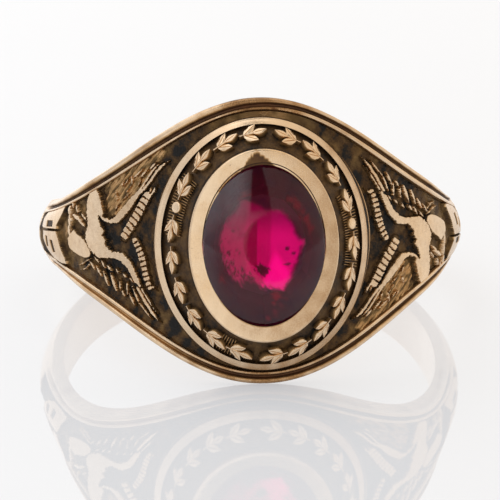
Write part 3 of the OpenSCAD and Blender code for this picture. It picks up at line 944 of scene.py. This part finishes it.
def rubyDome():
    look = domeLook
    material, work = newMaterial("rubyDome", (0.55, 0.02, 0.18))
    where = work.inMillimetres()
    smear = work.noise(where, 0.9, 3, 0.6)
    fine = work.noise(where, 7.0, 3, 0.7, (1.0, 6.0, 1.0))
    colour = work.colours(look["tint"], look["deeperTint"], smear.band(0.3, 0.7))
    roughness = smear.band(0.5, 0.8) * 0.03 + fine.band(0.6, 0.8) * 0.03 + look["smooth"]
    # painted reflection: a greyish sheen of the soft boxes round the edge, strongest at the upper left,
    # leaving the middle clear
    across, up = work.painted("across"), work.painted("upward")
    middle, halfWide, halfTall = look["clearOval"]
    place = work.node("CombineXYZ", None, [(across - middle) / halfWide, up / halfTall, 0.0]).out(0)
    outside = work.node("VectorMath", {"operation": "LENGTH"}, [place]).out("Value").band(0.9, 1.12)
    streaks = work.noise(where, 5.0, 3, 0.6, (1.0, 1.0, 0.14))
    upperLeft = (-across).band(0.5, 1.5) * up.band(-0.7, 2.2) * (streaks * 0.9 + 0.35)
    film = outside * (up.band(-2.2, -1.0) * -0.13 + look["film"] + upperLeft * look["upperLeftSheen"])
    film = film + (-across).band(1.9, 2.5) * look["leftEdgeSheen"]
    height = fine * 0.4 + smear
    bump = work.node("Bump", None, {"Strength": 0.05, "Distance": 0.00002, "Height": height}).out(0)
    shader = work.node("BsdfPrincipled", None, {
        "Base Color": colour, "Roughness": roughness, "Normal": bump, "IOR": look["ior"],
        "Transmission Weight": 1.0, "Specular Tint": look["mirror"],
        "Coat Weight": film, "Coat IOR": look["sheenCoatIor"], "Coat Roughness": look["sheenCoatRough"]})
    work.node("OutputMaterial", None, {"Surface": shader.out(0)})
    return material


# the cut back: reds of the foil from dull to shining, the glow painted on it, and what lies round it
backLook = {
    "rose": (0.52, 0.010, 0.11),
    "deep": (0.36, 0.0, 0.06),
    "plain": (0.66, 0.0, 0.14),
    "bright": (0.84, 0.0, 0.21),
    "hot": (0.96, 0.0, 0.25),
    "fleck": (0.16, 0.0, 0.03),
    "dimTop": (0.10, 0.0, 0.02),
    "dark": (0.115, 0.014, 0.024),
    "purple": (0.085, 0.008, 0.028),
    "scrap": (0.46, 0.004, 0.025),
    # the painted glow's strength: the foil gives off light though it is no lamp
    "glow": 0.45,
}


def rubyBack():
    look = backLook
    material, work = newMaterial("rubyBack", (0.3, 0.0, 0.08))
    across, up = work.painted("across"), work.painted("upward")
    glow, scrap = work.painted("glow"), work.painted("scrap")
    place = work.node("CombineXYZ", None, [across, up, 0.0]).out(0)
    cloud = work.noise(place, 1.1, 3, 0.6)
    crumbs = work.noise(place, 5.5, 4, 0.7)

    def beyond(x0, y0, x1, y1, soft=0.03):
        # 1 on the right of the line from the first place to the second
        long = math.hypot(x1 - x0, y1 - y0)
        side = (across - x0) * ((y1 - y0) / long) - (up - y0) * ((x1 - x0) / long)
        return side.band(-soft, soft)

    # painted light and shade: the back's facets are lit and shaded copies of one red, a duller and a brighter
    # half, a dark core, a brighter facet and a hot lit one
    middle = work.colours(look["rose"], look["plain"], beyond(-0.56, -1.5, -0.48, 1.6, 0.08))
    # painted shade: the dark core of the stone, cut off on its right by a facet's edge
    oval = work.node("VectorMath", {"operation": "MULTIPLY"}, [place, (1 / 0.64, 1.0, 0.0)]).out(0)
    core = work.node("VectorMath", {"operation": "LENGTH"}, [oval]).out("Value")
    core = (1 - core.band(0.88, 1.0)) * (1 - beyond(-0.18, -1.5, -0.14, 1.6))
    middle = work.colours(middle, look["deep"], core)
    middle = work.colours(middle, look["bright"], beyond(0.2, -1.6, 0.32, 1.5, 0.06))
    paintedLitFacet = beyond(-0.05, -1.6, 0.42, -0.3, 0.12) * beyond(0.42, -0.3, 1.0, -1.3, 0.12)
    middle = work.colours(middle, look["hot"], paintedLitFacet)
    flecks = crumbs.band(0.56, 0.68).most(cloud.band(0.5, 0.7) * 0.5)
    flecks = flecks * (1 - beyond(-0.3, -1.5, 0.0, 1.5, 0.4) * 0.85)
    middle = work.colours(middle, look["fleck"], flecks * 0.7)
    # the foil dims towards its top
    middle = work.colours(middle, look["dimTop"], (1 - beyond(-1.2, 0.75, 1.2, 0.75, 0.55)) * 0.6)
    # the foil has gone round the edge; a few red scraps are left of it
    outer = work.colours(look["dark"], look["purple"], cloud.band(0.45, 0.65))
    outer = work.colours(outer, look["scrap"], scrap * (cloud * 0.6 + 0.4))
    tone = work.colours(outer, middle, glow)
    roughness = cloud * 0.2 + 0.25
    bump = work.node("Bump", None, {"Strength": 0.3, "Distance": 0.00004, "Height": crumbs}).out(0)
    # painted light: the foil glows by emission, most on its hot lit facet, though it is no lamp
    paintedGlowColour = work.colours((0.0, 0.0, 0.0), tone, glow * (paintedLitFacet * 0.7 + 0.3))
    shader = work.node("BsdfPrincipled", None, {
        "Base Color": tone, "Roughness": roughness, "Normal": bump, "Metallic": glow * 0.35,
        "Specular IOR Level": 0.15, "Emission Color": paintedGlowColour, "Emission Strength": look["glow"]})
    work.node("OutputMaterial", None, {"Surface": shader.out(0)})
    return material


def makeStone():
    t = np.linspace(0, tau, stone["points"], endpoint=False)
    semiX, semiZ, base = stone["across"] / 2, stone["tall"] / 2, ring["girdleRadius"]
    rings = []

    def addRing(share, r, facets=0):
        share = share * facetSize(t, facets) if facets else share + 0 * t
        x, z = semiX * share * np.cos(t), semiZ * share * np.sin(t) - head["drop"]
        rings.append(np.stack([x, 0 * t - r, z], -1))

    # a shallow middle, fine enough to carry the foil's ragged edge, then two rows of facets
    inner, innerDeep, facets = stone["backRows"][-1]
    table, tableDeep = stone["table"], stone["middleDepth"]
    for i in range(1, stone["middleRows"] + 1):
        share = i / stone["middleRows"]
        if share < table:
            deep = mix(1.0, tableDeep, share / table)
        else:
            deep = mix(tableDeep, innerDeep, (share - table) / (1 - table))
        addRing(inner * share, base - stone["back"] * deep, facets)
    for share, deep, facets in reversed(stone["backRows"][:-1]):
        for step in (0.25, 0.5, 0.75, 1.0):
            addRing(mix(inner, share, step), base - stone["back"] * mix(innerDeep, deep, step), facets)
    backRings = len(rings)
    addRing(1.0, base)
    top = base + ring["girdleThick"]
    for i in range(stone["domeRows"]):
        share = math.cos(math.pi / 2 * i / stone["domeRows"])
        addRing(share, top + ring["domeHeight"] * (1 - share * share) ** stone["domePower"])
    rings = np.array(rings)
    count, n = rings.shape[:2]
    points = toPart(rings[..., 0], rings[..., 1], rings[..., 2]).reshape(-1, 3)
    across, up = rings[..., 0].ravel(), (rings[..., 2] + head["drop"]).ravel()
    # how much foil is left: it sets the foil's colour and its painted glow
    glow, scrap = foilShine(across, up)
    behind = np.repeat(np.arange(count) < backRings, n)
    faces = gridFaces(count, n, False, True)
    slots = [1 if face[0] // n < backRings else 0 for face in faces]
    # the table's middle and the dome's top
    for row, r, slot in ((0, base - stone["back"], 1), (count - 1, top + ring["domeHeight"], 0)):
        points = np.vstack([points, toPart(0, -r, -head["drop"])])
        faces += [[len(points) - 1, row * n + (j + 1) % n, row * n + j] for j in range(n)]
        slots += [slot] * n
    values = {"across": np.append(across, [0, 0]), "upward": np.append(up, [0, 0]),
              "glow": np.append(glow * behind, [1, 0]), "scrap": np.append(scrap * behind, [0, 0])}
    return makePiece("rubyStone", points, faces, [rubyDome(), rubyBack()], values, slots, 12)


stonePiece = makeStone()
print("stone made", len(stonePiece.data.polygons))


# shoulder relief: flat-topped cast forms standing in a sunken field

relief = {
    # outlines, in millimetres: along the shoulder from where the ornament starts, then up the finger
    "body": [(4.64, 2.39), (4.42, 2.37), (4.27, 2.23), (4.18, 2.0), (4.1, 1.81), (4.05, 1.58), (3.94, 1.18),
             (4.1, 1.06), (4.31, 1.12), (4.23, 0.86), (4.1, 0.59), (3.9, 0.42), (4.04, 0.21), (3.84, -0.02),
             (3.86, -0.18), (3.53, -0.5), (3.42, -0.71), (3.79, -0.82), (4.14, -0.75), (4.4, -0.84),
             (4.72, -0.69), (4.96, -0.48), (5.18, -0.23), (5.29, 0.02), (5.22, 0.31), (5.09, 0.6),
             (5.09, 0.88), (5.16, 1.25), (5.13, 1.64), (5.0, 2.02), (4.85, 2.26)],
    "shield": [(6.17, 0.41), (5.96, 0.23), (5.65, 0.11), (5.36, -0.06), (5.12, -0.3), (4.92, -0.56),
               (4.88, -0.74), (4.98, -0.87), (5.2, -0.94), (5.44, -0.93), (5.76, -0.85), (6.26, -0.69),
               (6.61, -0.51), (6.71, -0.33), (6.76, -0.04), (6.48, 0.21)],
    "upperCrest": [(7.1, 1.7), (7.08, 1.51), (7.43, 1.02), (7.93, 0.47), (7.95, 0.31), (9.94, 0.27),
                   (10.26, 0.3), (10.31, 0.73), (9.74, 1.09), (8.68, 1.38), (7.95, 1.58)],
    "lowerCrest": [(7.95, 0.24), (7.71, -0.09), (7.43, -0.65), (7.1, -1.06), (7.08, -1.32), (7.75, -1.31),
                   (8.73, -1.11), (9.4, -0.76), (9.96, -0.21), (9.92, 0.2)],
    "web": [(4.2, 2.75), (3.6, 3.1), (2.7, 3.6), (1.7, 4.2), (0.8, 4.6), (0.35, 4.2), (0.9, 3.5), (1.5, 2.75),
            (2.13, 2.1), (2.84, 1.35), (3.2, 1.1), (3.7, 1.05), (3.95, 1.5), (4.05, 2.1)],
    # plain slots in the two crests
    "slots": [
        [(9.4, 0.66), (8.5, 0.7), (8.45, 0.4), (9.35, 0.38)],
        [(8.78, -0.22), (8.45, -0.24), (8.25, -0.78), (8.58, -0.8)],
        [(9.48, -0.06), (9.15, -0.07), (9.15, -0.56), (9.45, -0.54)]],
    # strokes: along, up, width
    "upperWing": [(4.2, 1.12, 0.1), (3.9, 0.93, 0.19), (3.51, 0.86, 0.2), (3.14, 0.96, 0.34),
                  (2.84, 1.22, 0.4), (2.47, 1.58, 0.39), (2.13, 1.94, 0.33), (1.8, 2.28, 0.24)],
    "lowerWing": [(4.33, -0.69, 0.4), (3.79, -0.73, 0.32), (3.42, -0.71, 0.34), (2.93, -0.76, 0.4),
                  (2.6, -1.0, 0.4), (2.36, -1.24, 0.37), (2.21, -1.53, 0.36), (2.06, -1.8, 0.29),
                  (1.84, -2.12, 0.15), (1.74, -2.19, 0.05)],
    "tips": [
        [(1.84, 2.3, 0.12), (1.52, 2.7, 0.12), (1.26, 3.06, 0.12), (1.03, 3.36, 0.11), (0.79, 3.58, 0.07),
         (0.58, 3.7, 0.03)],
        [(1.74, 2.27, 0.15), (1.41, 2.58, 0.15), (1.13, 2.89, 0.15), (0.87, 3.24, 0.15), (0.61, 3.52, 0.16),
         (0.24, 3.77, 0.04)],
        [(1.97, -2.2, 0.14), (1.54, -2.87, 0.17), (1.17, -3.38, 0.16), (0.76, -3.84, 0.03)],
        [(1.73, -2.26, 0.1), (1.37, -2.77, 0.11), (1.07, -3.21, 0.07), (0.87, -3.44, 0.02)]],
    "ribbons": [
        [(1.37, 2.12, 0.42), (1.61, 1.74, 0.46), (1.91, 1.26, 0.46), (2.21, 0.84, 0.46), (2.56, 0.4, 0.46),
         (2.75, 0.09, 0.42)],
        [(2.08, 0.03, 0.28), (1.93, -0.24, 0.34), (1.76, -0.62, 0.38), (1.63, -1.03, 0.38),
         (1.54, -1.45, 0.36), (1.41, -1.87, 0.34), (1.3, -2.2, 0.24)]],
    # how often each ribbon is cut across, and half the cut's width
    "ribbonSteps": (0.29, 0.24),
    "ribbonCut": 0.022,
    "tails": [[(1.26, 2.08, 0.08), (1.04, 2.35, 0.14), (0.89, 2.63, 0.05)],
              [(1.3, -2.16, 0.07), (1.13, -2.14, 0.1), (0.96, -2.34, 0.04)],
              [(1.36, 2.24, 0.05), (1.24, 2.33, 0.1), (1.2, 2.5, 0.04)]],
    "curls": [[(6.04, -1.29, 0.06), (5.7, -1.23, 0.07), (5.2, -1.01, 0.07), (5.05, -0.94, 0.05)],
              [(5.81, -1.5, 0.04), (5.37, -1.43, 0.08), (5.09, -1.2, 0.06)]],
    # leaves and feathers: from along and up, to along and up, width
    "leaves": [
        (6.48, 1.73, 6.32, 1.45, 0.18), (6.69, 1.43, 6.71, 1.15, 0.27), (6.63, 1.03, 6.58, 0.52, 0.26),
        (6.67, 0.5, 6.56, 0.04, 0.27), (6.0, 1.51, 5.94, 1.23, 0.17), (6.28, 1.07, 5.63, 0.84, 0.22),
        (5.81, 0.83, 5.33, 0.57, 0.16), (5.61, 1.19, 5.2, 0.85, 0.12)],
    "upperFeathers": [
        (1.65, 3.34, 2.15, 2.94, 0.09), (2.23, 3.02, 2.21, 2.63, 0.08), (1.35, 3.36, 1.74, 2.99, 0.1),
        (0.94, 3.65, 1.17, 3.42, 0.13), (2.73, 2.75, 2.82, 2.56, 0.07), (2.34, 2.98, 2.69, 2.56, 0.06),
        (2.23, 2.61, 2.54, 2.28, 0.06), (1.74, 2.86, 1.87, 2.57, 0.07), (2.41, 2.18, 2.78, 1.89, 0.06),
        (2.06, 2.24, 2.56, 1.74, 0.06), (3.19, 2.27, 3.12, 1.88, 0.06), (3.03, 1.7, 3.23, 1.41, 0.07)],
    "lowerFeathers": [
        (4.61, -0.85, 4.31, -1.1, 0.1), (4.14, -1.01, 3.94, -1.29, 0.12), (3.75, -1.22, 3.55, -1.43, 0.12),
        (3.23, -1.34, 3.08, -1.54, 0.1), (2.8, -1.54, 2.65, -1.73, 0.1), (2.41, -1.73, 2.23, -1.94, 0.1),
        (4.94, -1.09, 4.66, -1.4, 0.1), (4.49, -1.29, 4.2, -1.68, 0.12), (4.01, -1.55, 3.75, -2.09, 0.13),
        (3.53, -1.65, 3.25, -2.3, 0.15), (3.01, -1.88, 2.97, -2.3, 0.1), (2.56, -2.0, 2.54, -2.48, 0.1),
        (2.86, -2.39, 2.71, -2.61, 0.12), (2.43, -2.51, 2.17, -3.0, 0.12), (2.23, -2.23, 1.91, -2.88, 0.11),
        (1.91, -2.88, 1.28, -3.59, 0.09)],
    "height": 0.26,
    "bevel": 0.055,
    "narrowBevel": 0.045,
    "featherBevel": 0.035,
    # how far up the forms' sides the black reaches: beside the head, at the end, and on fine forms
    "blackSides": (0.55, 0.95),
    "blackFine": 0.4,
    # the relief runs between these angles, in fine and then coarse columns
    "start": 15.5,
    "coarseFrom": 56.0,
    "stop": 93.0,
    "columns": (255, 145),
    "rows": 240,
    # the right shoulder's forms lie a little further out than the left's
    "stretch": {-1: 1.0, 1: 1.05},
    # its edges run this far down into the band
    "skirt": 0.16,
}


def strokeDepth(stations, x, y):
    # as polygonDepth, for a line of places and widths
    depth = np.full(x.shape, -1e9)
    for (x0, y0, w0), (x1, y1, w1) in zip(stations, stations[1:]):
        dx, dy = x1 - x0, y1 - y0
        t = np.clip(((x - x0) * dx + (y - y0) * dy) / (dx * dx + dy * dy), 0, 1)
        depth = np.maximum(depth, mix(w0, w1, t) / 2 - np.hypot(x - x0 - t * dx, y - y0 - t * dy))
    return depth


def alongStroke(stations, x, y):
    # how far along the line the nearest place lies
    best, run, soFar = np.full(x.shape, 1e9), np.zeros(x.shape), 0.0
    for (x0, y0, _), (x1, y1, _) in zip(stations, stations[1:]):
        dx, dy = x1 - x0, y1 - y0
        length = math.hypot(dx, dy)
        t = np.clip(((x - x0) * dx + (y - y0) * dy) / length ** 2, 0, 1)
        away = np.hypot(x - x0 - t * dx, y - y0 - t * dy)
        run = np.where(away < best, soFar + t * length, run)
        best = np.minimum(best, away)
        soFar += length
    return run


def tapered(x0, y0, x1, y1, w, widest, shares, past=0.0):
    # a stroke between two places, widest at that share of the way; it may run on past both of them
    onX, onY = (x1 - x0) * past, (y1 - y0) * past
    first, most, last = shares
    return [(x0 - onX, y0 - onY, w * first), (mix(x0, x1, widest), mix(y0, y1, widest), w * most),
            (x1 + onX, y1 + onY, w * last)]


def reliefHeight(x, y):
    # height above the field, and how bare of oxide each place is
    tall, bevel, narrow = relief["height"], relief["bevel"], relief["narrowBevel"]
    ragged = ripple(x, y, 0.34, 3) * 0.014 + ripple(x, y, 0.12, 4) * 0.012
    height, bare = np.zeros(x.shape), np.zeros(x.shape)
    # the sides are black nearly to the top, most of all where the shoulder turns away
    beside, atEnd = relief["blackSides"]
    blackTo = mix(beside, atEnd, smooth((x - 2.5) / 3.5))
    fine = relief["blackFine"]

    def raiseForm(depth, share, edge=bevel, rough=1.0, black=blackTo, polish=1.0):
        nonlocal height, bare
        climb = (depth + ragged * rough) / edge + 0.5
        height = np.maximum(height, tall * share * smooth(climb))
        bare = np.maximum(bare, polish * smooth((climb - black) / 0.3))

    # the olive ground behind the upper feathers, with strokes raked across it
    web = smooth((polygonDepth(relief["web"], x, y) + ragged * 2) / 0.25 + 0.3)
    raked = ripple(x * 0.9 + y * 0.9, (y - x) * 0.12, 0.2, 5)
    height = np.maximum(height, tall * web * (0.26 + 0.09 * raked + 0.06 * ripple(x, y, 0.5, 6)))
    for form in relief["tails"]:
        raiseForm(strokeDepth(form, x, y), 0.8, black=fine)
    for form in relief["curls"]:
        raiseForm(strokeDepth(form, x, y), 0.72, black=fine)
    for leaf in relief["leaves"]:
        raiseForm(strokeDepth(tapered(*leaf, 0.45, (0.6, 1.0, 0.5)), x, y), 0.92, black=fine)
    for feathers, share in (("upperFeathers", 0.86), ("lowerFeathers", 0.92)):
        for feather in relief[feathers]:
            stroke = tapered(*feather, 0.6, (0.4, 1.15, 0.45), 0.14)
            raiseForm(strokeDepth(stroke, x, y), share, relief["featherBevel"], 0.4, fine)
    for form in relief["tips"]:
        raiseForm(strokeDepth(form, x, y), 0.95, 0.04, 0.5)
    raiseForm(strokeDepth(relief["upperWing"], x, y), 0.96)
    raiseForm(strokeDepth(relief["lowerWing"], x, y), 0.98)
    for form, step in zip(relief["ribbons"], relief["ribbonSteps"]):
        depth = strokeDepth(form, x, y)
        cut = np.abs(np.mod(alongStroke(form, x, y), step) - step / 2) - relief["ribbonCut"]
        raiseForm(np.minimum(depth, cut), 0.95, narrow)
        raiseForm(depth - 0.03, 0.5, narrow, polish=0.2)
    raiseForm(polygonDepth(relief["shield"], x, y), 0.95, bevel, 0.6)
    raiseForm(polygonDepth(relief["body"], x, y) + ripple(x, y, 0.13, 19) * 0.022, 1.0)
    for form in ("upperCrest", "lowerCrest"):
        raiseForm(polygonDepth(relief[form], x, y), 0.98, bevel, 0.3)
    # the crests' slots are shallow and filled with oxide
    sunk = np.ones(x.shape)
    for slot in relief["slots"]:
        sunk = sunk * (1 - 0.96 * smooth(polygonDepth(slot, x, y) / 0.05 + 0.5))
    # black in the hollow beside the head, olive towards the end and behind the feathers
    olive = 0.06 + 0.22 * smooth((x - 3.6) / 2.2) + 0.06 * smooth((np.abs(y) - 2.4) / 0.8)
    olive = olive + 0.13 * ripple(x, y, 1.3, 10) + 0.05 * ripple(x, y, 0.45, 18)
    raking = web * (0.5 + 0.16 * raked + 0.1 * ripple(x, y, 0.6, 11))
    ground = np.clip(np.maximum(olive, raking), 0.0, 0.64)
    return height * (0.75 + 0.25 * sunk), np.maximum(bare, ground) * sunk


def reliefFaces(columns, rows):
    # each column of points has its top rows, then one point under its first row and one under its last
    wide = rows + 2
    faces = [f for f in gridFaces(columns, wide) if f[0] % wide < rows - 1]
    for i in range(columns - 1):
        here, after = i * wide, (i + 1) * wide
        faces.append([here, after, after + rows, here + rows])
        faces.append([here + rows - 1, here + rows + 1, after + rows + 1, after + rows - 1])
        faces.append([here + rows, after + rows, after + rows + 1, here + rows + 1])
    for i in (0, columns - 1):
        end = i * wide
        faces.append([end + n for n in range(rows)] + [end + rows + 1, end + rows])
    return faces


def makeRelief(name, side):
    fine, coarse = relief["columns"]
    a = np.concatenate([
        np.linspace(relief["start"], relief["coarseFrom"], fine, endpoint=False),
        np.linspace(relief["coarseFrom"], relief["stop"], coarse)])[:, None]
    inner = halfWidth(a) - ring["borderWidth"] * slant(a)
    z = inner * np.linspace(1.006, -1.006, relief["rows"])[None, :]
    a = np.broadcast_to(a, z.shape)
    along = np.radians(a - ring["ornamentStart"]) * (ring["boreRadius"] + ring["railThick"])
    along = along / relief["stretch"][side]
    height, bare = reliefHeight(along, z)
    # the floor between the forms is rough from the casting, and dips under the skin at both ends
    floor = 0.014 * ripple(along, z, 0.5, 8) + 0.008 * ripple(along, z, 0.17, 9)
    sink = 0.12 * (1 - smooth((a - relief["start"]) / 1.5)) + 0.12 * smooth((a - 88) / 4)
    skin = skinRadius(a, z, 0.0)
    top = skin + height + floor * (1 - height / relief["height"]) - sink
    edges = [0, -1]
    under = skin[:, edges] - relief["skirt"] - sink[:, edges]

    def place(r, n):
        return around(side * a[:, n], r, -side * z[:, n])

    columns, rows = z.shape
    points = np.concatenate([place(top, np.arange(rows)), place(under, edges)], 1)
    # the tops are dulled in places
    worn = 0.08 + 0.07 * ripple(along, z, 1.2, 13) + 0.06 * ripple(along, z, 0.4, 17)
    worn = np.clip(worn, 0, 1) * (bare > 0.6)
    hidden = np.zeros((columns, 2))
    values = {"rise": np.concatenate([bare, hidden], 1), "tarnish": np.concatenate([worn, hidden], 1)}
    return makePiece(name, points, reliefFaces(columns, rows), [gold], values)


reliefPieces = [makeRelief("leftRelief", -1), makeRelief("rightRelief", 1)]
print("relief made", len(reliefPieces[0].data.polygons))


# the photograph's point of view, in degrees and millimetres
stage = {
    "cameraAway": 300.0,
    "cameraTurn": -3.4,
    "cameraRise": 19.5,
    "cameraRoll": 0.35,
    # the picture's scale holds at the head's face, this far in front of the finger hole's middle
    "faceAhead": 11.0,
    "perMillimetre": 21.5,
    "pictureWide": 500,
    "sensor": 36,
    "shiftUp": -0.0426,
}


def makeCamera():
    # the camera looks at the middle of the finger hole, a little off centre as in the photograph
    turned, raised = math.radians(stage["cameraTurn"]), math.radians(stage["cameraRise"])
    level = math.cos(raised)
    back = Vector((math.sin(turned) * level, -math.cos(turned) * level, math.sin(raised)))
    centre = Vector(toPart(0, 0, 0).tolist())
    camera = bpy.data.objects.new("camera", bpy.data.cameras.new("camera"))
    bpy.context.scene.collection.objects.link(camera)
    faceAway = stage["cameraAway"] - stage["faceAhead"]
    camera.data.sensor_width = stage["sensor"]
    camera.data.lens = stage["sensor"] * faceAway * stage["perMillimetre"] / stage["pictureWide"]
    camera.data.clip_start, camera.data.clip_end = 0.01, 10
    spin = (-back).to_track_quat("-Z", "Y").to_matrix().to_4x4()
    roll = Matrix.Rotation(math.radians(stage["cameraRoll"]), 4, "Z")
    camera.matrix_world = Matrix.Translation(centre + back * (stage["cameraAway"] * mm)) @ spin @ roll
    camera.data.shift_y = stage["shiftUp"]
    bpy.context.scene.camera = camera


# a sheet of glossy white acrylic, lit from below as well: it mirrors clearly but takes hardly any shadow
floorLook = {
    "reach": 0.6,
    "white": (0.36, 0.36, 0.365),
    "duller": (0.34, 0.34, 0.345),
    "lit": (0.91, 0.945, 1.0, 1),
    "litStrength": 0.47,
    "ior": 1.6,
}


def makeFloor():
    look = floorLook
    material, work = newMaterial("paleFloor", (0.9, 0.9, 0.9))
    drift = work.noise(work.node("TexCoord").out("Object"), 30.0, 2)
    roughness = drift * 0.016 + 0.006
    colour = work.colours(look["white"], look["duller"], drift)
    shader = work.node("BsdfPrincipled", None, {
        "Base Color": colour, "Roughness": roughness, "IOR": look["ior"],
        "Emission Color": look["lit"], "Emission Strength": look["litStrength"]})
    work.node("OutputMaterial", None, {"Surface": shader.out(0)})
    size = look["reach"]
    corners = [(-size, -size, 0), (size, -size, 0), (size, size, 0), (-size, size, 0)]
    makePiece("floor", corners, [[0, 1, 2, 3]], [material])


# two broad soft boxes from above the front to overhead, with a narrow dark gap between them
studio = {
    "strength": 1.27,
    # the gap's sides: their place at this height, in degrees, and how far they lean over in 36 degrees more
    "gapFrom": 44.0,
    "gapLeft": (-0.31, 0.10),
    "gapRight": (0.23, -0.17),
    # it fades in between the first two heights, and out between the last two, past overhead
    "gapFades": (40, 46, 96, 110),
    "gapDark": 0.93,
    # from left to right: the left box is the brighter one, the right side of the room is dimmer and warm
    "sides": [(0.0, (0.46, 0.46, 0.48)), (0.1, (0.62, 0.62, 0.64)), (0.32, (1.0, 1.0, 1.0)),
              (0.47, (0.84, 0.83, 0.81)), (0.6, (0.68, 0.61, 0.52)), (0.85, (0.60, 0.54, 0.47)),
              (1.0, (0.58, 0.53, 0.47))],
}


def makeWorld():
    world = bpy.data.worlds.new("studio")
    bpy.context.scene.world = world
    world.use_nodes = True
    world.node_tree.nodes.clear()
    work = Work(world.node_tree)

    def fadeIn(value, low, high):
        return value.band(math.radians(low), math.radians(high))

    way = work.node("SeparateXYZ", None, [work.node("TexCoord").out("Generated")])
    x, y, z = way.out(0), way.out(1), way.out(2)
    lift = work.node("Math", {"operation": "ARCTAN2"}, [z, -y]).out(0)
    rise = (lift - math.radians(studio["gapFrom"])) * (180 / math.pi / 36)
    left, right = (rise * slope + place for place, slope in (studio["gapLeft"], studio["gapRight"]))
    gap = (x - left).band(-0.03, 0.03) * (1 - (x - right).band(-0.03, 0.03))
    starts, full, ends, gone = studio["gapFades"]
    gap = gap * fadeIn(lift, starts, full) * (1 - fadeIn(lift, ends, gone))
    sides = work.node("ValToRGB", {"stops": studio["sides"]}, {"Fac": x * 0.5 + 0.5}).out(0)
    dim = (1 - gap * studio["gapDark"]) * (fadeIn(lift, 30, 60) * 0.3 + 0.95)
    light = work.node("VectorMath", {"operation": "SCALE"}, {"Vector": sides, "Scale": dim}).out(0)
    shader = work.node("Background", None, {"Color": light, "Strength": studio["strength"]})
    work.node("OutputWorld", None, {"Surface": shader.out(0)})


makeCamera()
makeFloor()
makeWorld()
bpy.context.scene.view_settings.view_transform = "Standard"
print("camera, floor and light made")

for piece in [bandPiece, headPiece] + reliefPieces + wreathPieces:
    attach(piece, "root")
    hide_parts("ring_body")
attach(stonePiece, "root")
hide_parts("stone")
